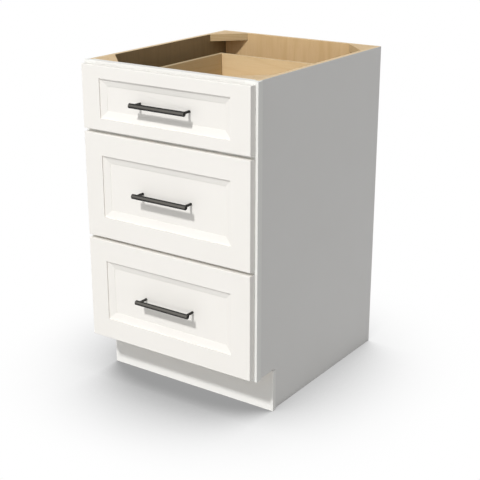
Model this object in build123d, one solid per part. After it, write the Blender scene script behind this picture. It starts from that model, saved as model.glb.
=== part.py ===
"""Three-drawer base cabinet with a face frame, panelled drawer fronts and telescopic drawer slides.

Millimetres, +Z up, +X to the right of a person facing the drawers, -Y towards that person.
The origin is on the floor, under the middle of the whole cabinet with its pulls.
"""

import os
from math import radians, tan

from build123d import *

# Cabinet box
WIDTH = 533.4
HEIGHT = 876.3
DEPTH = 609.6
PANEL_THICKNESS = 12.7
HOUSING_DEPTH = 6.35
TOE_HEIGHT = 114.3
TOE_DEPTH = 76.2

# Face frame
FRAME_THICKNESS = 19.05
FRAME_OVERHANG = 5.5
STILE_WIDTH = 38.1
RAIL_HEIGHT = 38.1
FRAME_TENON_LENGTH = 12.0
FRAME_TENON_SHOULDER = 6.35

# Corner blocks
BLOCK_LEG = 79.0
BLOCK_THICKNESS = 20.0
BLOCK_HOLE_INSET = 24.0
WORKTOP_HOLE_RADIUS = 2.5

# Drawer fronts: framed, with a sloped inner edge down to a flat panel
FRONT_THICKNESS = 19.05
FRONT_REVEAL = 7.5
FRONT_BOTTOM_REVEAL = 9.5
FRONT_GAP = 9.0
TOP_FRONT_HEIGHT = 166.0
FRONT_STILE = 76.2
TOP_FRONT_RAIL = 50.8
LOWER_FRONT_RAIL = 76.2
SLOPE_WIDTH = 19.05
SLOPE_STEP = 3.6
SLOPE_DROP = 5.1
SLOPE_LIP = 0.8
FRONT_PANEL_THICKNESS = 6.35
FRONT_GROOVE_DEPTH = 9.5
FRONT_PANEL_PLAY = 1.0
FRONT_TENON_HAUNCH = 12.0
FRONT_EDGE_RADIUS = 2.0
BUMPER_THICKNESS = 1.5
BUMPER_RADIUS = 4.5
BUMPER_SIDES = 16
BUMPER_INSET = 25.0

# Drawer boxes: dovetailed boards with a panel bottom
BOX_THICKNESS = 12.7
BOX_RISE = 10.0
TOP_BOX_HEADROOM = 12.85
LOWER_BOX_HEADROOM = 24.15
BOX_BACK_ROOM = 71.4
BOX_BOTTOM_THICKNESS = 6.35
BOX_BOTTOM_RISE = 12.7
BOX_GROOVE_DEPTH = 6.0
GROOVE_CLEARANCE = 0.25
DOVETAIL_PITCH = 25.0
DOVETAIL_PIN_SHARE = 0.14
DOVETAIL_ANGLE = 9.0

# Telescopic slides: three rolled channels, one inside the other
SLIDE_SPACE = 12.7
SLIDE_HEIGHT = 45.0
SLIDE_GAUGE = 1.2
SLIDE_BEND_EASE = 0.7
SLIDE_SETBACK = 3.0
SLIDE_END_ROOM = 14.5
SLIDE_RISE = 48.0
SLIDE_FACE_CLEARANCE = 2.0
RUNNING_CLEARANCE = 0.4
INNER_WEB_SHARE = 0.28
OUTER_MOUTH_SHARE = 0.375
SPACER_HEIGHT = 60.0

# Bar pulls
PULL_SPACING = 152.4
PULL_OVERHANG = 8.9
PULL_REACH = 22.25
BAR_RADIUS = 6.35
BAR_END_CHAMFER = 0.8
POST_RADIUS = 3.4
PULL_SCREW_RADIUS = 1.9
PULL_SCREW_HEAD_RADIUS = 4.0
PULL_SCREW_HEAD_THICKNESS = 2.4
PULL_SCREW_GRIP = 9.0
PULL_HOLE_RADIUS = 2.4
SCREW_CLEARANCE = 0.1

# Levels and planes that follow from the sizes above
RECESS_DEPTH = SLOPE_STEP + SLOPE_DROP + SLOPE_LIP
FRONT_REACH = BUMPER_THICKNESS + FRONT_THICKNESS + PULL_REACH + BAR_RADIUS
FRAME_FRONT = (FRONT_REACH - DEPTH) / 2
FRAME_BACK = FRAME_FRONT + FRAME_THICKNESS
CABINET_BACK = FRAME_FRONT + DEPTH
BACK_INNER = CABINET_BACK - PANEL_THICKNESS
FRONT_BACK = FRAME_FRONT - BUMPER_THICKNESS
FRONT_FACE = FRONT_BACK - FRONT_THICKNESS
PANEL_FACE = FRONT_FACE + RECESS_DEPTH
SIDE_OUTER = WIDTH / 2 - FRAME_OVERHANG
SIDE_INNER = SIDE_OUTER - PANEL_THICKNESS
OPENING_HALF = WIDTH / 2 - STILE_WIDTH
BOX_HALF = OPENING_HALF - SLIDE_SPACE
BOX_FRONT = FRONT_BACK
BOX_BACK = BACK_INNER - BOX_BACK_ROOM
FRONT_HALF = WIDTH / 2 - FRONT_REVEAL
SLIDE_FRONT = FRAME_FRONT + SLIDE_SETBACK
SLIDE_BACK = BOX_BACK - SLIDE_END_ROOM
DECK_TOP = TOE_HEIGHT + RAIL_HEIGHT
DECK_BOTTOM = DECK_TOP - PANEL_THICKNESS
LOWER_FRONT_HEIGHT = (
    HEIGHT - TOE_HEIGHT - FRONT_REVEAL - FRONT_BOTTOM_REVEAL - TOP_FRONT_HEIGHT - 2 * FRONT_GAP
) / 2

BOTTOM_FRONT = TOE_HEIGHT + FRONT_BOTTOM_REVEAL
MIDDLE_FRONT = BOTTOM_FRONT + LOWER_FRONT_HEIGHT + FRONT_GAP
TOP_FRONT = MIDDLE_FRONT + LOWER_FRONT_HEIGHT + FRONT_GAP

# Underside of each face-frame rail; the two between drawers are centred on the gaps between fronts
RAILS = {
    "top": HEIGHT - RAIL_HEIGHT,
    "upper": TOP_FRONT - FRONT_GAP / 2 - RAIL_HEIGHT / 2,
    "lower": MIDDLE_FRONT - FRONT_GAP / 2 - RAIL_HEIGHT / 2,
    "bottom": TOE_HEIGHT,
}
TOP_OPENING = RAILS["upper"] + RAIL_HEIGHT
MIDDLE_OPENING = RAILS["lower"] + RAIL_HEIGHT
TOP_BOX_HEIGHT = RAILS["top"] - TOP_OPENING - BOX_RISE - TOP_BOX_HEADROOM
LOWER_BOX_HEIGHT = RAILS["lower"] - DECK_TOP - BOX_RISE - LOWER_BOX_HEADROOM

# Each drawer: bottom of its front, heights of front and front rails, bottom of its opening, height of its box
DRAWERS = {
    "top": (TOP_FRONT, TOP_FRONT_HEIGHT, TOP_FRONT_RAIL, TOP_OPENING, TOP_BOX_HEIGHT),
    "middle": (MIDDLE_FRONT, LOWER_FRONT_HEIGHT, LOWER_FRONT_RAIL, MIDDLE_OPENING, LOWER_BOX_HEIGHT),
    "bottom": (BOTTOM_FRONT, LOWER_FRONT_HEIGHT, LOWER_FRONT_RAIL, DECK_TOP, LOWER_BOX_HEIGHT),
}


def board(x, y, z):
    """A square-edged board between three (low, high) pairs."""
    size = [high - low for low, high in (x, y, z)]
    middle = [(high + low) / 2 for low, high in (x, y, z)]
    return Pos(*middle) * Box(*size)


def shaped(plane, points, low, high, bends=(), ease=0.0):
    """A straight length of the outlined section, from low to high along the axis across the plane."""
    outline = make_face(Polyline(*points, close=True))
    if bends:
        corners = [min(outline.vertices(), key=lambda v: (v.X - x) ** 2 + (v.Y - y) ** 2) for x, y in bends]
        outline = chamfer(corners, ease)
    start = -high if plane == Plane.XZ else low
    lifted = plane.offset(start)
    return extrude(lifted * outline, amount=high - low, dir=lifted.z_dir)


def rod(centre, axis, radius, length):
    """A round rod that starts at a point and runs along an axis."""
    return extrude(Plane(centre, z_dir=axis) * Circle(radius), amount=length)


def screw(head, axis, length):
    """A pull screw: the underside of its head at a point, its shank along the axis."""
    back = tuple(h - a * PULL_SCREW_HEAD_THICKNESS for h, a in zip(head, axis))
    cap = rod(back, axis, PULL_SCREW_HEAD_RADIUS, PULL_SCREW_HEAD_THICKNESS)
    return cap + rod(head, axis, PULL_SCREW_RADIUS, length)


def mirrored(solid):
    """The same piece on the other side of the cabinet."""
    return mirror(solid, about=Plane.YZ)


NODES = {}

# Side panels: notched for the toes, housed for the bottom panel and rebated for the back
toe_back = FRAME_FRONT + TOE_DEPTH + PANEL_THICKNESS
side_front = FRAME_BACK - HOUSING_DEPTH
side_outline = [
    (side_front, TOE_HEIGHT),
    (toe_back, TOE_HEIGHT),
    (toe_back, 0),
    (CABINET_BACK, 0),
    (CABINET_BACK, HEIGHT),
    (side_front, HEIGHT),
]
housed = SIDE_INNER + HOUSING_DEPTH
side = shaped(Plane.YZ, side_outline, SIDE_INNER, SIDE_OUTER)
side -= board((SIDE_INNER, housed), (BACK_INNER, CABINET_BACK), (0, HEIGHT))
side -= board((SIDE_INNER, housed), (FRAME_BACK, BACK_INNER), (DECK_BOTTOM, DECK_TOP))
NODES["side_panel_right"] = side
NODES["side_panel_left"] = mirrored(side)

NODES["back_panel"] = board((-housed, housed), (BACK_INNER, CABINET_BACK), (0, HEIGHT))
NODES["bottom_panel"] = board((-housed, housed), (FRAME_BACK, BACK_INNER), (DECK_BOTTOM, DECK_TOP))

# Toe-kick board: nailed across the notches, with a step that rises between the sides to the bottom panel
toe_outline = [
    (-WIDTH / 2, 0),
    (WIDTH / 2, 0),
    (WIDTH / 2, TOE_HEIGHT),
    (SIDE_INNER, TOE_HEIGHT),
    (SIDE_INNER, DECK_BOTTOM),
    (-SIDE_INNER, DECK_BOTTOM),
    (-SIDE_INNER, TOE_HEIGHT),
    (-WIDTH / 2, TOE_HEIGHT),
]
NODES["toe_kick_board"] = shaped(Plane.XZ, toe_outline, FRAME_FRONT + TOE_DEPTH, toe_back)

# Face frame: rails tenoned into stiles, and a groove behind each stile for the side panel
stile = board((OPENING_HALF, WIDTH / 2), (FRAME_FRONT, FRAME_BACK), (TOE_HEIGHT, HEIGHT))
stile -= board((SIDE_INNER, SIDE_OUTER), (side_front, FRAME_BACK), (TOE_HEIGHT, HEIGHT))
tenon_y = (FRAME_FRONT + FRAME_THICKNESS / 3, FRAME_BACK - FRAME_THICKNESS / 3)
tenon_half = OPENING_HALF + FRAME_TENON_LENGTH
for name, low in RAILS.items():
    high = low + RAIL_HEIGHT
    tenon_z = (low + FRAME_TENON_SHOULDER, high - FRAME_TENON_SHOULDER)
    rail = board((-OPENING_HALF, OPENING_HALF), (FRAME_FRONT, FRAME_BACK), (low, high))
    NODES[f"frame_rail_{name}"] = rail + board((-tenon_half, tenon_half), tenon_y, tenon_z)
    stile -= board((OPENING_HALF, tenon_half), tenon_y, tenon_z)
NODES["frame_stile_right"] = stile
NODES["frame_stile_left"] = mirrored(stile)

# Corner blocks: glued into the corners, with a hole through each for a worktop screw
block_z = (HEIGHT - BLOCK_THICKNESS, HEIGHT)
for end, face, inward in (("front", FRAME_BACK, 1), ("rear", BACK_INNER, -1)):
    tip = face + inward * BLOCK_LEG
    outline = [(SIDE_INNER, face), (SIDE_INNER, tip), (SIDE_INNER - BLOCK_LEG, face)]
    hole = (SIDE_INNER - BLOCK_HOLE_INSET, face + inward * BLOCK_HOLE_INSET, block_z[0])
    block = shaped(Plane.XY, outline, *block_z) - rod(hole, (0, 0, 1), WORKTOP_HOLE_RADIUS, BLOCK_THICKNESS)
    NODES[f"corner_block_{end}_right"] = block
    NODES[f"corner_block_{end}_left"] = mirrored(block)

# Sections of the slides, as distance from the spacer (u) and height from the slide's middle (v)
step = SLIDE_GAUGE + RUNNING_CLEARANCE
outer_mouth = SLIDE_SPACE - SLIDE_FACE_CLEARANCE
middle_mouth = outer_mouth - step
inner_web = INNER_WEB_SHARE * SLIDE_HEIGHT


def channel(back, mouth, top, lip):
    """Half of a lipped channel's outline, from its back round to its lip."""
    deep = top - SLIDE_GAUGE
    return [
        (back, top),
        (mouth, top),
        (mouth, lip),
        (mouth - SLIDE_GAUGE, lip),
        (mouth - SLIDE_GAUGE, deep),
        (back + SLIDE_GAUGE, deep),
    ]


def slide_pair(half, bends, z):
    """The right and left slide members of one half outline, with its bends eased."""
    whole = half + [(u, -v) for u, v in reversed(half)]
    points = [(OPENING_HALF - u, z + v) for u, v in whole]
    corners = [(OPENING_HALF - u, z + s * v) for u, v in bends for s in (1, -1)]
    right = shaped(Plane.XZ, points, SLIDE_FRONT, SLIDE_BACK, corners, SLIDE_BEND_EASE)
    return Compound(children=[right, mirrored(right)])


outer_top = SLIDE_HEIGHT / 2
middle_top = outer_top - step
inner_top = middle_top - step
outer_half = channel(0, outer_mouth, outer_top, OUTER_MOUTH_SHARE * SLIDE_HEIGHT)
middle_half = channel(step, middle_mouth, middle_top, inner_web + RUNNING_CLEARANCE)
foot = 2 * step
foot_lip = middle_mouth - step
inner_half = [
    (SLIDE_SPACE, inner_web),
    (foot + SLIDE_GAUGE, inner_web),
    (foot + SLIDE_GAUGE, inner_top - SLIDE_GAUGE),
    (foot_lip, inner_top - SLIDE_GAUGE),
    (foot_lip, inner_top),
    (foot, inner_top),
    (foot, inner_web - SLIDE_GAUGE),
    (SLIDE_SPACE - SLIDE_GAUGE, inner_web - SLIDE_GAUGE),
]
outer_bends = [(outer_mouth, outer_top)]
middle_bends = [(step, middle_top), (middle_mouth, middle_top)]
inner_bends = [(SLIDE_SPACE, inner_web), (foot, inner_top)]


def front_frame(low, high, rail):
    """Stiles and rails of a drawer front, with sloped inner edges that meet in mitres, and its panel."""
    blank = board((-FRONT_HALF, FRONT_HALF), (FRONT_FACE, FRONT_BACK), (low, high))
    blank = fillet(blank.faces().sort_by(Axis.Y)[0].edges(), FRONT_EDGE_RADIUS)
    groove = (PANEL_FACE, PANEL_FACE + FRONT_PANEL_THICKNESS)

    def section(outer, width, sign):
        inner = outer + sign * width
        shoulder = inner - sign * SLOPE_WIDTH
        bed = inner - sign * FRONT_GROOVE_DEPTH
        return [
            (outer, FRONT_FACE),
            (shoulder, FRONT_FACE),
            (shoulder, FRONT_FACE + SLOPE_STEP),
            (inner, FRONT_FACE + SLOPE_STEP + SLOPE_DROP),
            (inner, groove[0]),
            (bed, groove[0]),
            (bed, groove[1]),
            (inner, groove[1]),
            (inner, FRONT_BACK),
            (outer, FRONT_BACK),
        ]

    shoulder_x = FRONT_HALF - FRONT_STILE + SLOPE_WIDTH
    inner_x = FRONT_HALF - FRONT_STILE
    stile = shaped(Plane.XY, section(FRONT_HALF, FRONT_STILE, -1), low, high) & blank
    rails = []
    for outer, sign in ((low, 1), (high, -1)):
        shoulder_z = outer + sign * (rail - SLOPE_WIDTH)
        inner_z = outer + sign * rail
        coped = [
            (-shoulder_x, outer),
            (shoulder_x, outer),
            (shoulder_x, shoulder_z),
            (inner_x, inner_z),
            (-inner_x, inner_z),
            (-shoulder_x, shoulder_z),
        ]
        reach = shaped(Plane.XZ, coped, FRONT_FACE, FRONT_BACK)
        profile = [(y, z) for z, y in section(outer, rail, sign)]
        bar = shaped(Plane.YZ, profile, -shoulder_x, shoulder_x) & reach & blank
        tenon_z = sorted((outer + sign * FRONT_TENON_HAUNCH, shoulder_z))
        tenon_x = shoulder_x + FRONT_GROOVE_DEPTH
        for x in ((shoulder_x, tenon_x), (-tenon_x, -shoulder_x)):
            bar += board(x, groove, tenon_z)
        stile -= reach
        stile -= board((shoulder_x, tenon_x), groove, tenon_z)
        rails.append(bar)
    panel_half = inner_x + FRONT_GROOVE_DEPTH - FRONT_PANEL_PLAY
    panel_rise = rail - FRONT_GROOVE_DEPTH + FRONT_PANEL_PLAY
    panel = board((-panel_half, panel_half), groove, (low + panel_rise, high - panel_rise))
    return [stile, mirrored(stile)], rails, panel


def dovetails(low, height, end, inward):
    """Pins on the right-hand end of a box's front or back board, which fill the gaps between the tails."""
    count = max(2, round(height / DOVETAIL_PITCH))
    pitch = height / count
    narrow = DOVETAIL_PIN_SHARE * pitch
    wide = narrow + BOX_THICKNESS * tan(radians(DOVETAIL_ANGLE))
    base = end + inward * BOX_THICKNESS
    pins = Part()
    for k in range(count + 1):
        z = low + k * pitch
        below = 0 if k == 0 else 1
        above = 0 if k == count else 1
        outline = [
            (end, z - below * narrow),
            (end, z + above * narrow),
            (base, z + above * wide),
            (base, z - below * wide),
        ]
        pins += shaped(Plane.YZ, outline, BOX_HALF - BOX_THICKNESS, BOX_HALF)
    return pins


def drawer_box(low, height):
    """Front, back, left and right boards of a drawer box, and the bottom panel in their grooves."""
    z = (low, low + height)
    inside = BOX_HALF - BOX_THICKNESS
    bottom_half = inside + BOX_GROOVE_DEPTH
    bottom_y = (BOX_FRONT + BOX_THICKNESS - BOX_GROOVE_DEPTH, BOX_BACK - BOX_THICKNESS + BOX_GROOVE_DEPTH)
    bottom_z = (low + BOX_BOTTOM_RISE, low + BOX_BOTTOM_RISE + BOX_BOTTOM_THICKNESS)
    bottom = board((-bottom_half, bottom_half), bottom_y, bottom_z)
    room_half = bottom_half + GROOVE_CLEARANCE
    room_y = (bottom_y[0] - GROOVE_CLEARANCE, bottom_y[1] + GROOVE_CLEARANCE)
    groove = board((-room_half, room_half), room_y, (bottom_z[0], bottom_z[1] + GROOVE_CLEARANCE))
    right = board((inside, BOX_HALF), (BOX_FRONT, BOX_BACK), z)
    ends = []
    for end, inward in ((BOX_FRONT, 1), (BOX_BACK, -1)):
        pins = dovetails(low, height, end, inward)
        y = sorted((end, end + inward * BOX_THICKNESS))
        ends.append(board((-inside, inside), y, z) + pins + mirrored(pins) - groove)
        right -= pins
    right -= groove
    return ends[0], ends[1], mirrored(right), right, bottom


bumpers = []
spacers = []
spacer_x = (OPENING_HALF, SIDE_INNER)
bumper_x = WIDTH / 2 - STILE_WIDTH / 2
bar_y = FRONT_FACE - PULL_REACH
bar_half = PULL_SPACING / 2 + PULL_OVERHANG
for name, (low, height, rail, opening, box_height) in DRAWERS.items():
    high = low + height
    box_low = opening + BOX_RISE
    slide_z = box_low + SLIDE_RISE
    pull_z = (low + high) / 2

    stiles, rails, panel = front_frame(low, high, rail)
    box_front, box_back, box_left, box_right, box_bottom = drawer_box(box_low, box_height)

    # Pull: a bar saddled on two posts, held by screws from inside the drawer
    bar = rod((-bar_half, bar_y, pull_z), (1, 0, 0), BAR_RADIUS, 2 * bar_half)
    ends = bar.edges().filter_by(GeomType.CIRCLE)
    bar = chamfer(ends, BAR_END_CHAMFER)
    posts = []
    screws = []
    head_y = BOX_FRONT + BOX_THICKNESS
    shank = head_y - PANEL_FACE + PULL_SCREW_GRIP
    for x in (-PULL_SPACING / 2, PULL_SPACING / 2):
        foot_centre = (x, PANEL_FACE, pull_z)
        post = rod(foot_centre, (0, -1, 0), POST_RADIUS, PANEL_FACE - bar_y)
        post -= rod((-bar_half, bar_y, pull_z), (1, 0, 0), BAR_RADIUS, 2 * bar_half)
        tapped = PULL_SCREW_RADIUS + SCREW_CLEARANCE
        post -= rod(foot_centre, (0, -1, 0), tapped, PULL_SCREW_GRIP + SCREW_CLEARANCE)
        posts.append(post)
        head = (x, head_y, pull_z)
        screws.append(screw(head, (0, -1, 0), shank))
        way = rod((x, head_y, pull_z), (0, -1, 0), PULL_HOLE_RADIUS, head_y - PANEL_FACE)
        panel -= way
        box_front -= way

    NODES[f"{name}_front_stiles"] = Compound(children=stiles)
    NODES[f"{name}_front_rails"] = Compound(children=rails)
    NODES[f"{name}_front_panel"] = panel
    NODES[f"{name}_box_front"] = box_front
    NODES[f"{name}_box_back"] = box_back
    NODES[f"{name}_box_left"] = box_left
    NODES[f"{name}_box_right"] = box_right
    NODES[f"{name}_box_bottom"] = box_bottom
    NODES[f"{name}_pull_bar"] = bar
    NODES[f"{name}_pull_posts"] = Compound(children=posts)
    NODES[f"{name}_pull_screws"] = Compound(children=screws)
    NODES[f"{name}_slide_outer"] = slide_pair(outer_half, outer_bends, slide_z)
    NODES[f"{name}_slide_middle"] = slide_pair(middle_half, middle_bends, slide_z)
    NODES[f"{name}_slide_inner"] = slide_pair(inner_half, inner_bends, slide_z)

    spacer_z = (slide_z - SPACER_HEIGHT / 2, slide_z + SPACER_HEIGHT / 2)
    spacer = board(spacer_x, (FRAME_BACK, BACK_INNER), spacer_z)
    spacers += [spacer, mirrored(spacer)]
    for x in (-bumper_x, bumper_x):
        seat = Plane((x, FRAME_FRONT, high - BUMPER_INSET), z_dir=(0, -1, 0))
        bumpers.append(extrude(seat * RegularPolygon(BUMPER_RADIUS, BUMPER_SIDES), amount=BUMPER_THICKNESS))

NODES["slide_spacers"] = Compound(children=spacers)
NODES["front_bumpers"] = Compound(children=bumpers)

os.makedirs("parts", exist_ok=True)
for name, solid in NODES.items():
    export_step(solid, f"parts/{name}.step")
print(len(NODES), "nodes written")
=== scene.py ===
# %% [markdown]
# # Dressing a three-drawer base cabinet
# The cabinet arrives from the CAD model as named solids, in metres, each already in its place.
# They could be modelled again here, but then sizes would drift, so this script only dresses them:
# finishes, eased edges, small screws, a floor, light and a camera.

# %% Load the cabinet
from math import cos, pi, radians, sin

import bmesh
import bpy
from mathutils import Matrix, Vector


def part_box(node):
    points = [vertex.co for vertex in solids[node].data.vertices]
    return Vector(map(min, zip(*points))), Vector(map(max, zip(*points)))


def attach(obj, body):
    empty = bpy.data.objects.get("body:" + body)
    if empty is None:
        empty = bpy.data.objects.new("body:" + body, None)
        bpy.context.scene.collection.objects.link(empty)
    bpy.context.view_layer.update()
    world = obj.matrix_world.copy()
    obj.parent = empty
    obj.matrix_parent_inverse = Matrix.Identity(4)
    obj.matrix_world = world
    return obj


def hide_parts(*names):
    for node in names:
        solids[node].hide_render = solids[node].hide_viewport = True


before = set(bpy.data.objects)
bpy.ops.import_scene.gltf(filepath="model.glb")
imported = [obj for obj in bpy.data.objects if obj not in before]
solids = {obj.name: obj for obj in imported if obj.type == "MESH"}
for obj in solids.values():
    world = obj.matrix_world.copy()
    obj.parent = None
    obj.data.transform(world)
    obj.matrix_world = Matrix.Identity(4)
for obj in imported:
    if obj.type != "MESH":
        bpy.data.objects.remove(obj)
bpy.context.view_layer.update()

DRAWERS = ("top", "middle", "bottom")

# %% [markdown]
# ## The camera
# The cabinet is seen from its right-hand front corner, from a little above its top, through a long lens.
# A camera could be placed by six numbers, but an aim point, a bearing, a rise and a distance say how a
# photographer sets a tripod up, and each can be changed without upsetting the others.

# %% Camera
AIM = Vector((0.0296, -0.0114, 0.3697))
CAMERA_BEARING = radians(34.69)
CAMERA_RISE = radians(19.36)
CAMERA_DISTANCE = 2.951
LENS = 80.58


def towards(bearing, rise):
    """The direction from the cabinet to a point at a bearing round it and a rise above the horizon."""
    return Vector((sin(bearing) * cos(rise), -cos(bearing) * cos(rise), sin(rise)))


camera = bpy.data.objects.new("camera", bpy.data.cameras.new("camera"))
bpy.context.scene.collection.objects.link(camera)
outward = towards(CAMERA_BEARING, CAMERA_RISE)
camera.location = AIM + CAMERA_DISTANCE * outward
camera.rotation_euler = outward.to_track_quat("Z", "Y").to_euler()
camera.data.lens = LENS
bpy.context.scene.camera = camera
print("camera stands at", camera.location)

# %% [markdown]
# ## Small helpers for finishes
# A finish is a tree of shader nodes. Each node takes three or four lines to make, set and link, so a few
# helpers keep the trees short enough to read: one puts in a node, and the others do sums, steps and mixes
# with it. Colours are written as a paint chart gives them and turned into the linear values that the shader
# wants.

# %% Node helpers
def tint(code):
    """A linear colour from a six-figure colour code."""
    parts = [int(code[k : k + 2], 16) / 255 for k in (0, 2, 4)]
    return (*[p / 12.92 if p <= 0.04045 else ((p + 0.055) / 1.055) ** 2.4 for p in parts], 1)


def put(tree, kind, values=(), **settings):
    """A node: its settings are switches, and its values go to inputs, linked where they are sockets."""
    node = tree.nodes.new("ShaderNode" + kind)
    for name, setting in settings.items():
        setattr(node, name, setting)
    for key, value in dict(values).items():
        if isinstance(value, bpy.types.NodeSocket):
            tree.links.new(value, node.inputs[key])
        else:
            node.inputs[key].default_value = value
    return node


def reckon(tree, operation, *values):
    """A sum on numbers."""
    return put(tree, "Math", enumerate(values), operation=operation).outputs[0]


def project(tree, place, axis):
    """How far along an axis a place is."""
    return put(tree, "VectorMath", {0: place, 1: axis}, operation="DOT_PRODUCT").outputs["Value"]


def step(tree, value, start, end):
    """A smooth step from 0 at start to 1 at end."""
    values = {"Value": value, "From Min": start, "From Max": end}
    return put(tree, "MapRange", values, interpolation_type="SMOOTHSTEP").outputs["Result"]


def span(tree, value, low, high):
    """A value from 0 to 1 spread between two others."""
    return put(tree, "MapRange", {"Value": value, "To Min": low, "To Max": high}).outputs["Result"]


def mix(tree, amount, first, second):
    """Two colours mixed: none of the second at 0, all of it at 1."""
    return put(tree, "Mix", {0: amount, 6: first, 7: second}, data_type="RGBA").outputs[2]


def noise(tree, place, scale, detail=2.0):
    """Cloudy noise from about 0 to 1, with so many lumps to the metre."""
    return put(tree, "TexNoise", {"Vector": place, "Scale": scale, "Detail": detail}).outputs[0]


print("the chart's f5f2eb is", tint("f5f2eb")[:3], "in linear light")

# %% [markdown]
# ## One coordinate for everything that has a direction
# Boards have grain, drawn steel has fine lines and plywood has layers: all of them depend on a direction.
# A texture could be unwrapped on each piece, but the pieces are CAD solids with no map. Instead, a node
# group squeezes the object's own coordinates along an axis, so that plain noise comes out as long streaks.
# It also says where a face cuts across that axis, which is where a board shows its end grain.

# %% Group: along an axis
def new_group(name, inputs, outputs):
    """An empty node group with named sockets: inputs are pairs of kind and first value, outputs are kinds."""
    group = bpy.data.node_groups.new(name, "ShaderNodeTree")
    for socket, (kind, first) in inputs.items():
        made = group.interface.new_socket(socket, in_out="INPUT", socket_type="NodeSocket" + kind)
        made.default_value = first
    for socket, kind in outputs.items():
        group.interface.new_socket(socket, in_out="OUTPUT", socket_type="NodeSocket" + kind)
    given = group.nodes.new("NodeGroupInput").outputs
    result = group.nodes.new("NodeGroupOutput").inputs
    return group, given, result


def place_group(tree, group, values):
    """A node group placed in a tree with its own values."""
    return put(tree, "Group", values, node_tree=group).outputs


UPRIGHT, ACROSS, DEEP = (0, 0, 1), (1, 0, 0), (0, 1, 0)
along_axis, given, result = new_group(
    "along_axis",
    {"Axis": ("Vector", UPRIGHT), "Squeeze": ("Float", 20)},
    {"Place": "Vector", "End": "Float"},
)
own = put(along_axis, "TexCoord").outputs
run = project(along_axis, own["Object"], given["Axis"])
share = reckon(along_axis, "SUBTRACT", reckon(along_axis, "DIVIDE", 1, given["Squeeze"]), 1)
taken = reckon(along_axis, "MULTIPLY", run, share)
shift = put(along_axis, "VectorMath", {0: given["Axis"], 3: taken}, operation="SCALE").outputs[0]
place = put(along_axis, "VectorMath", {0: own["Object"], 1: shift}, operation="ADD").outputs[0]
facing = reckon(along_axis, "ABSOLUTE", project(along_axis, own["Normal"], given["Axis"]))
along_axis.links.new(place, result["Place"])
along_axis.links.new(step(along_axis, facing, 0.6, 0.8), result["End"])
print("along_axis has", len(along_axis.nodes), "nodes")

# %% [markdown]
# ## Maple
# Maple is pale and quiet: faint growth lines that wander along the board, fine fibre streaks and short
# flecks. Growth lines could be drawn as rings about a log's heart, but the level lines of a slow, squeezed
# noise give the same drawn-out arches with two nodes, and no two boards come out alike.
# End grain drinks more finish, so faces across the grain turn to the dark colour.
# Noise scales are in lumps to the metre, before the squeeze.

# %% Group: maple figure
SLOW_SQUEEZE, QUICK_SQUEEZE = 10, 40
GROWTH_SCALE, GROWTH_LINES = 11, 70
FIBRE_SCALE, CLOUD_SCALE, FLECK_SCALE = 620, 26, 520
GROWTH_SHARE, FIBRE_SHARE, CLOUD_SHARE, FLECK_SHARE = 0.16, 0.45, 0.35, 0.12
maple_figure, given, result = new_group(
    "maple_figure",
    {"Axis": ("Vector", UPRIGHT), "Pale": ("Color", (1, 1, 1, 1)), "Dark": ("Color", (0, 0, 0, 1))},
    {"Color": "Color", "Roughness": "Float", "Height": "Float"},
)
slow = place_group(maple_figure, along_axis, {"Axis": given["Axis"], "Squeeze": SLOW_SQUEEZE})
quick = place_group(maple_figure, along_axis, {"Axis": given["Axis"], "Squeeze": QUICK_SQUEEZE})
rings = noise(maple_figure, slow["Place"], GROWTH_SCALE, 1.5)
level = reckon(maple_figure, "MULTIPLY", rings, GROWTH_LINES)
growth = reckon(maple_figure, "MULTIPLY_ADD", reckon(maple_figure, "SINE", level), 0.5, 0.5)
fibre = noise(maple_figure, quick["Place"], FIBRE_SCALE, 3)
cloud = noise(maple_figure, slow["Place"], CLOUD_SCALE, 3)
fleck = step(maple_figure, noise(maple_figure, slow["Place"], FLECK_SCALE, 1), 0.62, 0.74)
tone = reckon(maple_figure, "MULTIPLY", reckon(maple_figure, "POWER", growth, 3), GROWTH_SHARE)
tone = reckon(maple_figure, "MULTIPLY_ADD", fibre, FIBRE_SHARE, tone)
tone = reckon(maple_figure, "MULTIPLY_ADD", cloud, CLOUD_SHARE, tone)
tone = reckon(maple_figure, "MULTIPLY_ADD", fleck, FLECK_SHARE, tone)
long_grain = mix(maple_figure, tone, given["Pale"], given["Dark"])
end_grain = reckon(maple_figure, "MULTIPLY", slow["End"], span(maple_figure, fibre, 0.4, 0.9))
maple_figure.links.new(mix(maple_figure, end_grain, long_grain, given["Dark"]), result["Color"])
maple_figure.links.new(span(maple_figure, fibre, 0.4, 0.62), result["Roughness"])
maple_figure.links.new(reckon(maple_figure, "SUBTRACT", fibre, fleck), result["Height"])
print("maple_figure has", len(maple_figure.nodes), "nodes")

# %% [markdown]
# ## Plywood edges
# A cut plywood edge shows its layers: every second one is end grain and darker, with a thin glue line
# between. The layers could be modelled as strips, but they are one board, so the group counts layers by how
# deep a point is in the board and colours odd and even ones apart. It also says which faces are edges.

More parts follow.
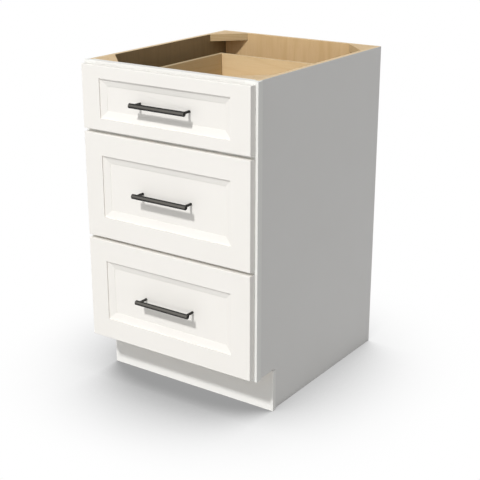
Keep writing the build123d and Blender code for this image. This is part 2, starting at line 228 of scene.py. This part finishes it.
# %% Group: plywood edge
SAW_MARK_SCALE = 420
LAYER_SHARE, SAW_SHARE, GLUE_SHARE = 0.45, 0.4, 0.25
ply_edge, given, result = new_group(
    "ply_edge",
    {
        "Axis": ("Vector", ACROSS),
        "First Face": ("Float", 0),
        "Layer": ("Float", 0.0014),
        "Pale": ("Color", (1, 1, 1, 1)),
        "Dark": ("Color", (0, 0, 0, 1)),
    },
    {"Color": "Color", "Edge": "Float"},
)
own = put(ply_edge, "TexCoord").outputs
depth = reckon(ply_edge, "ABSOLUTE", project(ply_edge, own["Object"], given["Axis"]))
depth = reckon(ply_edge, "SUBTRACT", depth, given["First Face"])
layers = reckon(ply_edge, "DIVIDE", depth, given["Layer"])
odd = reckon(ply_edge, "FLOORED_MODULO", reckon(ply_edge, "FLOOR", layers), 2)
middle = reckon(ply_edge, "ABSOLUTE", reckon(ply_edge, "SUBTRACT", reckon(ply_edge, "FRACT", layers), 0.5))
glue = step(ply_edge, middle, 0.4, 0.48)
rough_cut = noise(ply_edge, own["Object"], SAW_MARK_SCALE, 3)
darker = reckon(ply_edge, "MULTIPLY", rough_cut, SAW_SHARE)
darker = reckon(ply_edge, "MULTIPLY_ADD", odd, LAYER_SHARE, darker)
darker = reckon(ply_edge, "MULTIPLY_ADD", glue, GLUE_SHARE, darker)
sides = place_group(ply_edge, along_axis, {"Axis": given["Axis"]})
ply_edge.links.new(mix(ply_edge, darker, given["Pale"], given["Dark"]), result["Color"])
ply_edge.links.new(reckon(ply_edge, "SUBTRACT", 1, sides["End"]), result["Edge"])
print("ply_edge has", len(ply_edge.nodes), "nodes")

# %% [markdown]
# ## Sprayed paint
# The fronts, frame and toe board are sprayed in a warm white satin. Sprayed paint is never quite flat: it
# dries in a very fine dimpled skin, and its sheen and tone drift a little over a wide board.
# The dimples go to a bump, because they are far too small to model, and the drift goes to colour and gloss.

# %% Group: sprayed skin
TONE_SCALE, SHEEN_SCALE, DIMPLE_SCALE = 6, 30, 650
sprayed_skin, given, result = new_group(
    "sprayed_skin",
    {"Paint": ("Color", (1, 1, 1, 1)), "Drift": ("Color", (0.9, 0.9, 0.9, 1))},
    {"Color": "Color", "Roughness": "Float", "Height": "Float"},
)
own = put(sprayed_skin, "TexCoord").outputs["Object"]
tone = mix(sprayed_skin, noise(sprayed_skin, own, TONE_SCALE, 4), given["Paint"], given["Drift"])
gloss = span(sprayed_skin, noise(sprayed_skin, own, SHEEN_SCALE, 3), 0.36, 0.5)
sprayed_skin.links.new(tone, result["Color"])
sprayed_skin.links.new(gloss, result["Roughness"])
sprayed_skin.links.new(noise(sprayed_skin, own, DIMPLE_SCALE, 1), result["Height"])
print("sprayed_skin has", len(sprayed_skin.nodes), "nodes")

# %% [markdown]
# ## Drawn metal
# The slides are rolled from zinc-plated strip and the pulls are drawn bar, so both have hairlines along
# their length. Hairlines could be an anisotropic shader, but streaked roughness and a faint bump show from
# any side, and the same group serves pulls, slides and screws.

# %% Group: drawn metal
BLOTCH_SCALE, HAIRLINE_SCALE, HAIRLINE_SQUEEZE = 90, 2600, 60
drawn_metal, given, result = new_group(
    "drawn_metal",
    {
        "Axis": ("Vector", ACROSS),
        "Bright": ("Color", (1, 1, 1, 1)),
        "Dull": ("Color", (0, 0, 0, 1)),
        "Polish": ("Float", 0.3),
    },
    {"Color": "Color", "Roughness": "Float", "Height": "Float"},
)
lines = place_group(drawn_metal, along_axis, {"Axis": given["Axis"], "Squeeze": HAIRLINE_SQUEEZE})
blotch = noise(drawn_metal, put(drawn_metal, "TexCoord").outputs["Object"], BLOTCH_SCALE, 4)
hairline = noise(drawn_metal, lines["Place"], HAIRLINE_SCALE, 2)
wear = reckon(drawn_metal, "MULTIPLY_ADD", hairline, 0.5, reckon(drawn_metal, "MULTIPLY", blotch, 0.5))
drawn_metal.links.new(mix(drawn_metal, wear, given["Bright"], given["Dull"]), result["Color"])
drawn_metal.links.new(reckon(drawn_metal, "MULTIPLY_ADD", wear, 0.25, given["Polish"]), result["Roughness"])
drawn_metal.links.new(hairline, result["Height"])
print("drawn_metal has", len(drawn_metal.nodes), "nodes")

# %% [markdown]
# ## From groups to finishes
# A finish places a group in a material, feeds its colour and roughness to the shader, and turns its height
# into a bump of a few hundredths of a millimetre or less. One function does that, so each finish below is
# only its own values. The three sprayed whites come first: fronts, frame and toe board are sprayed apart, so
# their whites differ by a hair. The frame's and the toe board's are a little cooler. The frame's top rail is
# a shade greyer, which is painted shade, so that its top edge looks less brightly lit.

# %% Sprayed finishes
def new_finish(name):
    """An empty material: the material, its node tree and its shader's inputs."""
    material = bpy.data.materials.new(name)
    material.use_nodes = True
    return material, material.node_tree, material.node_tree.nodes["Principled BSDF"].inputs


def dress(tree, shader, colour, roughness, height, relief, sheen):
    """Links a finish's colour, roughness and relief, in metres, to the shader, and sets its sheen."""
    tree.links.new(colour, shader["Base Color"])
    tree.links.new(roughness, shader["Roughness"])
    bump = put(tree, "Bump", {"Height": height, "Distance": relief})
    tree.links.new(bump.outputs["Normal"], shader["Normal"])
    shader["Specular IOR Level"].default_value = sheen


PAINT_RELIEF, PAINT_SHEEN = 0.00002, 0.3


def sprayed(name, paint, drift):
    """A sprayed finish that drifts between two colours."""
    material, tree, shader = new_finish(name)
    skin = place_group(tree, sprayed_skin, {"Paint": tint(paint), "Drift": tint(drift)})
    dress(tree, shader, skin["Color"], skin["Roughness"], skin["Height"], PAINT_RELIEF, PAINT_SHEEN)
    return material


front_white = sprayed("front_white", "f6f3ee", "f1eee8")
frame_white = sprayed("frame_white", "f4f4f0", "f0f0ec")
# The top rail's greyer white is painted shade on its lit top edge.
rail_white_painted_shade = sprayed("rail_white_painted_shade", "eeede9", "e9e8e4")
toe_white = sprayed("toe_white", "f6f5f2", "f2f1ed")
print("finishes", front_white.name, frame_white.name, rail_white_painted_shade.name, toe_white.name)

# %% [markdown]
# ## Maple boards and plywood
# The drawer boxes are solid maple, and each board's grain runs along it, so the dovetails show end grain
# against long grain. Their sides are dressed a duller maple than their fronts and backs, as painted shade.
# The cabinet's panels are maple-faced plywood, with layers on every cut edge. A board's finish needs only
# its grain direction and two colours, a pale and a dark one. A panel's also needs the direction through its
# thickness and where its first face is, and both come from the solid's own box.

# %% Maple finishes
MAPLE = tint("e4cfa9"), tint("cdaf83")
# The second pair is a duller maple for the box sides: painted shade.
BOX_SIDE_PAINTED_SHADE = tint("cbb999"), tint("b19a75")
VENEER = tint("e2c69b"), tint("c4a270")
CUT_EDGE = tint("ead4ac"), tint("cfae7e")
# The next pair is a darker edge colour for the corner blocks: painted shade on their upright faces.
BLOCK_EDGE_PAINTED_SHADE = tint("d4bf98"), tint("ba9b6e")
WOOD_RELIEF, WOOD_SHEEN = 0.00006, 0.22
PLIES = 9


def solid_maple(name, grain, colours):
    """A solid maple board with its grain along an axis, in a pale and a dark colour."""
    material, tree, shader = new_finish(name)
    wood = place_group(tree, maple_figure, {"Axis": grain, "Pale": colours[0], "Dark": colours[1]})
    dress(tree, shader, wood["Color"], wood["Roughness"], wood["Height"], WOOD_RELIEF, WOOD_SHEEN)
    return material


def layered(tree, node, grain, through, face, edge):
    """Veneered plywood in a tree: its colour, and the veneer's own outputs."""
    veneer = place_group(tree, maple_figure, {"Axis": grain, "Pale": face[0], "Dark": face[1]})
    low, high = [Vector(corner).dot(Vector(through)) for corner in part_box(node)]
    near, far = sorted((abs(low), abs(high)))
    values = {"Axis": through, "First Face": near, "Layer": (far - near) / PLIES}
    cut = place_group(tree, ply_edge, {**values, "Pale": edge[0], "Dark": edge[1]})
    return mix(tree, cut["Edge"], veneer["Color"], cut["Color"]), veneer


def plywood(node, grain, through, edge=CUT_EDGE):
    """A plywood panel with veneer along the grain and layers on its edges."""
    material, tree, shader = new_finish("plywood_" + node)
    colour, veneer = layered(tree, node, grain, through, VENEER, edge)
    dress(tree, shader, colour, veneer["Roughness"], veneer["Height"], WOOD_RELIEF, WOOD_SHEEN)
    return material


# The box sides' finish carries the duller maple, painted shade.
maple_long_painted_shade = solid_maple("maple_front_to_back_painted_shade", DEEP, BOX_SIDE_PAINTED_SHADE)
maple_cross = solid_maple("maple_side_to_side", ACROSS, MAPLE)
print("finishes", maple_long_painted_shade.name, "and", maple_cross.name)

# %% [markdown]
# ## Finished sides
# Each side is one plywood panel with a thin white skin on its outer face and a veneer inside.
# The veneer is dressed darker than the back panel's, as painted shade for the deep shade inside the cabinet,
# and the skin's white greyer than the fronts', as painted shade on a side that the key light barely reaches.
# Two solids could carry two materials, but the skin is half a millimetre thick, so one material asks how far
# out a point is and changes from wood to white there. The left and right panels share it.

# %% Side finish
SKIN = 0.0005
# The skin's white is greyed: painted shade on the side.
SIDE_WHITE_PAINTED_SHADE = tint("edecea"), tint("e9e8e5")
# The inside veneer is darkened: painted shade inside the cabinet.
INSIDE_PAINTED_SHADE = tint("927f60"), tint("766346")
side_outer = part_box("side_panel_right")[1].x
finished_side, tree, shader = new_finish("finished_side")
wood_colour, veneer = layered(tree, "side_panel_right", UPRIGHT, ACROSS, INSIDE_PAINTED_SHADE, CUT_EDGE)
skin = place_group(tree, sprayed_skin, {"Paint": SIDE_WHITE_PAINTED_SHADE[0], "Drift": SIDE_WHITE_PAINTED_SHADE[1]})
from_middle = reckon(tree, "ABSOLUTE", project(tree, put(tree, "TexCoord").outputs["Object"], ACROSS))
outside = reckon(tree, "GREATER_THAN", from_middle, side_outer - SKIN)
gloss = put(tree, "Mix", {0: outside, 2: veneer["Roughness"], 3: skin["Roughness"]}).outputs[0]
colour = mix(tree, outside, wood_colour, skin["Color"])
dress(tree, shader, colour, gloss, veneer["Height"], PAINT_RELIEF, PAINT_SHEEN)
print("white skin begins", round(side_outer - SKIN, 4), "m from the middle")

# %% [markdown]
# ## Metal and rubber
# Slides and screws are bright zinc. The pulls are dark: a smoky lacquer over metal, which hides the metal's
# own reflections, so their Metallic value stays at 0. Their edges carry painted shade: a coat layer would
# add a second gloss, so Layer Weight mixes a darker colour in towards the outline, round a paler core.
# The bumpers behind the fronts are dots of cloudy rubber: the sprayed skin serves again, and a little
# subsurface light makes it cloudy.

# %% Metal finishes
METAL_RELIEF, METAL_SHEEN = 0.000004, 0.5
# The last colour here and the span below paint shade on the pulls' outline.
LACQUER, LACQUER_PAINTED_SHADE = (tint("6d6a65"), tint("5a5853")), tint("100f0e")
LACQUER_POLISH, LACQUER_SHEEN = 0.4, 0.2
EDGE_SHADE_SPAN = 0.17, 0.4
CLOUDINESS, CLOUD_DEPTH = 0.3, 0.002


def metal(name, axis, bright, dull, polish):
    """A bare drawn metal with its hairlines along an axis."""
    material, tree, shader = new_finish(name)
    values = {"Axis": axis, "Bright": tint(bright), "Dull": tint(dull), "Polish": polish}
    strip = place_group(tree, drawn_metal, values)
    dress(tree, shader, strip["Color"], strip["Roughness"], strip["Height"], METAL_RELIEF, METAL_SHEEN)
    shader["Metallic"].default_value = 1
    return material


def lacquered(name, axis):
    """A drawn metal under smoky lacquer, with painted shade mixed in towards its outline."""
    material, tree, shader = new_finish(name)
    values = {"Axis": axis, "Bright": LACQUER[0], "Dull": LACQUER[1], "Polish": LACQUER_POLISH}
    strip = place_group(tree, drawn_metal, values)
    # Painted shade: a darker colour towards the outline, where the bar curves away.
    painted_edge_shade = step(tree, put(tree, "LayerWeight", {"Blend": 0.5}).outputs["Facing"], *EDGE_SHADE_SPAN)
    colour = mix(tree, painted_edge_shade, strip["Color"], LACQUER_PAINTED_SHADE)
    dress(tree, shader, colour, strip["Roughness"], strip["Height"], METAL_RELIEF, LACQUER_SHEEN)
    return material


pull_bar = lacquered("lacquered_bar", ACROSS)
pull_post = lacquered("lacquered_post", DEEP)
slide_zinc = metal("zinc_slide", DEEP, "d3d6d8", "a9acae", 0.24)
screw_zinc = metal("zinc_screw", UPRIGHT, "d9d8d3", "a8a59c", 0.22)

bumper_rubber = sprayed("bumper_rubber", "dcdcd8", "c9c9c4")
shader = bumper_rubber.node_tree.nodes["Principled BSDF"].inputs
shader["Subsurface Weight"].default_value = CLOUDINESS
shader["Subsurface Scale"].default_value = CLOUD_DEPTH
print("finishes", [m.name for m in (pull_bar, pull_post, slide_zinc, screw_zinc, bumper_rubber)])

# %% [markdown]
# ## Giving each piece its finish
# A node's name says what it is, so its finish is looked up by the words in the name, most particular first.
# Each line of the list also says how far the piece's edges are eased, in metres. A CAD edge is perfectly
# sharp and catches no light, where a sanded or painted one shows a thin bright line. The Weld modifier joins
# the solid's separate faces, Bevel takes the corner off, and Weighted Normal keeps the broad faces flat.
# Modifiers leave the CAD mesh itself alone.

# %% Finishes and eased edges
WELD_REACH = 0.00001
SHARP_FROM = radians(32)
FINISHES = [
    ("side_panel", finished_side, 0.0004),
    ("back_panel", plywood("back_panel", UPRIGHT, DEEP), 0.0004),
    ("bottom_panel", plywood("bottom_panel", ACROSS, UPRIGHT), 0.0004),
    ("corner_block", plywood("corner_block_rear_left", ACROSS, UPRIGHT, BLOCK_EDGE_PAINTED_SHADE), 0.0006),
    ("slide_spacers", plywood("slide_spacers", DEEP, ACROSS), 0.0006),
    ("box_bottom", maple_cross, 0.0003),
    ("box_front", maple_cross, 0.0004),
    ("box_back", maple_cross, 0.0004),
    ("box_", maple_long_painted_shade, 0.0004),
    ("pull_bar", pull_bar, 0.0002),
    ("pull_posts", pull_post, 0.0002),
    ("pull_screws", screw_zinc, 0.0002),
    ("slide_", slide_zinc, 0.00015),
    ("bumpers", bumper_rubber, 0.0003),
    ("frame_rail_top", rail_white_painted_shade, 0.0004),
    ("frame_", frame_white, 0.0004),
    ("front_", front_white, 0.0003),
    ("toe_kick", toe_white, 0.0005),
]


def ease_edges(piece, width):
    """Takes the sharpness off a solid's edges."""
    weld = piece.modifiers.new("joined_faces", "WELD")
    weld.merge_threshold = WELD_REACH
    bevel = piece.modifiers.new("eased_edges", "BEVEL")
    bevel.width = width
    bevel.segments = 2
    bevel.limit_method = "ANGLE"
    bevel.angle_limit = SHARP_FROM
    piece.modifiers.new("flat_faces", "WEIGHTED_NORMAL")


for name, solid in solids.items():
    finish, width = next((f, w) for words, f, w in FINISHES if words in name)
    solid.data.materials.clear()
    solid.data.materials.append(finish)
    ease_edges(solid, width)
print(len(solids), "nodes finished")

# %% [markdown]
# ## Screws
# A drawer's front is screwed on from inside the box, its pull is held by two long screws, and the inner slide
# members are screwed to the box. They show when a drawer is open. A disc could stand for a head, but the
# cross recess is what makes it a screw, so a head is turned on a lathe profile and a tapered cross is cut
# from it. The recess is given as shares of the head, and each screw as its head's radius and height, then
# its shank's radius and length.

# %% Two kinds of screw
RECESS_ARM, RECESS_HALF, RECESS_TAPER = 0.58, 0.14, 0.55
RECESS_FLOOR, RECESS_TOP = 0.35, 1.2
FRONT_SCREW = (0.0045, 0.0026, 0.0018, 0.02)
SLIDE_SCREW = (0.0034, 0.0016, 0.0016, 0.009)


def turned(profile, sides=28):
    """A closed solid turned from (radius, height) points that start and end on the axis."""
    made = bmesh.new()
    corners = [made.verts.new((radius, 0, height)) for radius, height in profile]
    edges = [made.edges.new(pair) for pair in zip(corners, corners[1:])]
    bmesh.ops.spin(made, geom=corners + edges, axis=(0, 0, 1), cent=(0, 0, 0), angle=2 * pi, steps=sides)
    bmesh.ops.remove_doubles(made, verts=made.verts, dist=WELD_REACH)
    bmesh.ops.recalc_face_normals(made, faces=made.faces)
    return made


def cross_cutter(radius, height):
    """A tapered cross that cuts the drive recess into a head."""
    arm, half = RECESS_ARM * radius, RECESS_HALF * radius
    quarter = [Vector((arm, -half, 0)), Vector((arm, half, 0)), Vector((half, half, 0))]
    outline = [Matrix.Rotation(k * pi / 2, 3, "Z") @ point for k in range(4) for point in quarter]
    made = bmesh.new()
    rings = [
        [made.verts.new(point * size + Vector((0, 0, z))) for point in outline]
        for size, z in ((RECESS_TAPER, RECESS_FLOOR * height), (1, RECESS_TOP * height))
    ]
    made.faces.new(reversed(rings[0]))
    made.faces.new(rings[1])
    count = len(outline)
    for k in range(count):
        made.faces.new((rings[0][k], rings[0][(k + 1) % count], rings[1][(k + 1) % count], rings[1][k]))
    return made


def as_object(name, made):
    """A bmesh as a new object in the scene."""
    mesh = bpy.data.meshes.new(name)
    made.to_mesh(mesh)
    made.free()
    piece = bpy.data.objects.new(name, mesh)
    bpy.context.scene.collection.objects.link(piece)
    return piece


def screw_mesh(radius, height, shank_radius, shank_length):
    """A pan-head screw, its head's underside at the origin and its head along +Z."""
    tip = -shank_length
    profile = [(0, tip), (0.6 * shank_radius, tip), (shank_radius, tip + shank_radius), (shank_radius, 0)]
    profile += [(radius, 0), (radius, 0.4 * height), (0.9 * radius, 0.75 * height)]
    profile += [(0.7 * radius, 0.93 * height), (0.4 * radius, height), (0, height)]
    screw = as_object("screw_blank", turned(profile))
    cutter = as_object("screw_cutter", cross_cutter(radius, height))
    cut = screw.modifiers.new("recess", "BOOLEAN")
    cut.operation = "DIFFERENCE"
    cut.object = cutter
    graph = bpy.context.evaluated_depsgraph_get()
    mesh = bpy.data.meshes.new_from_object(screw.evaluated_get(graph))
    bpy.data.objects.remove(screw)
    bpy.data.objects.remove(cutter)
    return mesh


front_screw = screw_mesh(*FRONT_SCREW)
slide_screw = screw_mesh(*SLIDE_SCREW)
print("a front screw has", len(front_screw.polygons), "faces, a slide screw", len(slide_screw.polygons))

# %% [markdown]
# ## Setting the screws
# Where a screw goes comes from the boxes of the solids that it joins. The pull screws stand for the plain
# ones of the CAD model, with the same head and length. Copies are joined into one piece for each drawer,
# because nobody will ever move one screw alone.

# %% Set the screws
PULL_SPACING = 0.1524
PULL_HEAD, PULL_SHANK = (0.004, 0.0024), 0.0019
SLIDE_GAUGE = 0.0012
FRONT_SCREW_INSET = 0.011
FRONT_SCREW_EDGE = 0.026
SLIDE_SCREWS = (0.035, 0.225, 0.42)
SCREW_TURN = 0.7


def set_screws(name, mesh, seats, axis, body):
    """Copies of a screw at their seats, heads along an axis, as one piece that rides a body."""
    made = bmesh.new()
    upright = Vector(axis).to_track_quat("Z", "Y").to_matrix().to_4x4()
    for count, seat in enumerate(seats):
        copy = mesh.copy()
        copy.transform(Matrix.Translation(seat) @ upright @ Matrix.Rotation(SCREW_TURN * count, 4, "Z"))
        made.from_mesh(copy)
        bpy.data.meshes.remove(copy)
    piece = as_object(name, made)
    piece.data.materials.append(screw_zinc)
    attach(piece, body)
    return piece


for drawer in DRAWERS:
    body = drawer + "_drawer"
    front_low, front_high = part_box(drawer + "_box_front")
    screw_low, screw_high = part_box(drawer + "_pull_screws")
    slide_low, slide_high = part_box(drawer + "_slide_inner")
    floor_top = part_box(drawer + "_box_bottom")[1].z
    inner_face = front_high.y
    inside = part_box(drawer + "_box_right")[0].x

    pull_z = (screw_low.z + screw_high.z) / 2
    pull_screw = screw_mesh(*PULL_HEAD, PULL_SHANK, inner_face - screw_low.y)
    seats = [Vector((side * PULL_SPACING / 2, inner_face, pull_z)) for side in (-1, 1)]
    pair = set_screws(drawer + "_pull_screw_pair", pull_screw, seats, DEEP, body)
    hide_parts(drawer + "_pull_screws")

    levels = (floor_top + FRONT_SCREW_EDGE, front_high.z - FRONT_SCREW_EDGE)
    across = inside - FRONT_SCREW_INSET
    seats = [Vector((side * across, inner_face, z)) for side in (-1, 1) for z in levels]
    set_screws(drawer + "_front_screws", front_screw, seats, DEEP, body)

    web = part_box(drawer + "_box_right")[1].x + SLIDE_GAUGE
    slide_z = (slide_low.z + slide_high.z) / 2
    for side, hand in ((-1, "left"), (1, "right")):
        seats = [Vector((side * web, slide_low.y + along, slide_z)) for along in SLIDE_SCREWS]
        set_screws(f"{drawer}_slide_screws_{hand}", slide_screw, seats, (side, 0, 0), body)
print("screws set in", len(DRAWERS), "drawers")

# %% [markdown]
# ## Light and white surroundings
# The key light is a soft sun, straight in front and a little more than halfway up. The rest is a dim, even
# sky, so that the inside of the cabinet stays deep, with a glow low in front that reaches under the bottom
# drawer and into the toe recess. A white backdrop lit to white would flood the cabinet with light. Instead,
# Light Path shows white to the camera and to reflections only, while the cabinet is lit by the plain levels
# below.

# %% Light
SUN_BEARING, SUN_RISE = radians(-1), radians(47)
SUN_STRENGTH, SUN_SOFTNESS = 2.15, radians(4.5)
ZENITH, HORIZON, FRONT_GLOW = 0.34, 0.36, 0.75


def seen_directly(tree):
    """1 for rays from the camera, reflections and clear pieces, 0 for the light that falls on things."""
    path = put(tree, "LightPath").outputs
    direct = reckon(tree, "MAXIMUM", path["Is Camera Ray"], path["Is Glossy Ray"])
    return reckon(tree, "MAXIMUM", direct, path["Is Transmission Ray"])


sun = bpy.data.objects.new("key_light", bpy.data.lights.new("key_light", "SUN"))
bpy.context.scene.collection.objects.link(sun)
sun.data.energy = SUN_STRENGTH
sun.data.angle = SUN_SOFTNESS
sun.rotation_euler = towards(SUN_BEARING, SUN_RISE).to_track_quat("Z", "Y").to_euler()

world = bpy.data.worlds.new("studio")
bpy.context.scene.world = world
world.use_nodes = True
tree = world.node_tree
away = put(tree, "TexCoord").outputs["Generated"]
low_down = reckon(tree, "SUBTRACT", 1, reckon(tree, "MAXIMUM", project(tree, away, UPRIGHT), 0))
low_down = reckon(tree, "POWER", low_down, 2)
in_front = reckon(tree, "POWER", reckon(tree, "MAXIMUM", project(tree, away, (0, -1, 0)), 0), 2)
rise = reckon(tree, "MULTIPLY_ADD", in_front, FRONT_GLOW, HORIZON - ZENITH)
falling = reckon(tree, "MULTIPLY_ADD", low_down, rise, ZENITH)
level = put(tree, "Mix", {0: seen_directly(tree), 2: falling, 3: 1}).outputs[0]
tree.nodes["Background"].inputs["Color"].default_value = (1, 1, 1, 1)
tree.links.new(level, tree.nodes["Background"].inputs["Strength"])
bpy.context.scene.view_settings.view_transform = "Standard"
print("key light", SUN_STRENGTH, "and sky from", ZENITH, "overhead to", HORIZON + FRONT_GLOW, "low in front")

# %% [markdown]
# ## The floor
# The floor is white, with only a soft shade where the cabinet stands. A lit floor would turn grey and show a
# hard edge where it ends, so the camera sees a white glow, dimmed by Ambient Occlusion: how much of the room
# near each point is shut off by the cabinet. The normal that it looks along leans a little to the back and
# right, which moves the shade a little to the front and left, and a power draws its tail out towards white.
# For the light that it throws back, the floor is a plain pale grey.

# %% Floor
FLOOR_RADIUS, FLOOR_SIDES = 4.0, 96
FLOOR_PALE = 0.55
SHADE_REACH, SHADE_LEAST = 0.42, 0.33
SHADE_LEAN = (0.06, 0.07, 0)
SHUT_IN, SHADE_TAIL, SHADE_SAMPLES = 0.325, 0.8, 32

disc = bmesh.new()
bmesh.ops.create_circle(disc, cap_ends=True, segments=FLOOR_SIDES, radius=FLOOR_RADIUS)
floor = as_object("floor", disc)
floor_finish = bpy.data.materials.new("floor")
floor_finish.use_nodes = True
tree = floor_finish.node_tree
tree.nodes.clear()
upright = put(tree, "NewGeometry").outputs["Normal"]
leaning = put(tree, "VectorMath", {0: upright, 1: SHADE_LEAN}, operation="ADD").outputs[0]
leaning = put(tree, "VectorMath", {0: leaning}, operation="NORMALIZE").outputs[0]
values = {"Distance": SHADE_REACH, "Normal": leaning}
openness = put(tree, "AmbientOcclusion", values, samples=SHADE_SAMPLES).outputs["AO"]
share = put(tree, "MapRange", {"Value": openness, "From Min": SHUT_IN, "From Max": 1}).outputs["Result"]
glow = span(tree, step(tree, reckon(tree, "POWER", share, SHADE_TAIL), 0, 1), SHADE_LEAST, 1)
shown = put(tree, "Emission", {"Color": (1, 1, 1, 1), "Strength": glow}).outputs[0]
lit = put(tree, "BsdfDiffuse", {"Color": (FLOOR_PALE, FLOOR_PALE, FLOOR_PALE, 1)}).outputs[0]
both = put(tree, "MixShader", {0: seen_directly(tree), 1: lit, 2: shown}).outputs[0]
put(tree, "OutputMaterial", {"Surface": both})
floor.data.materials.append(floor_finish)
print("floor of radius", FLOOR_RADIUS)
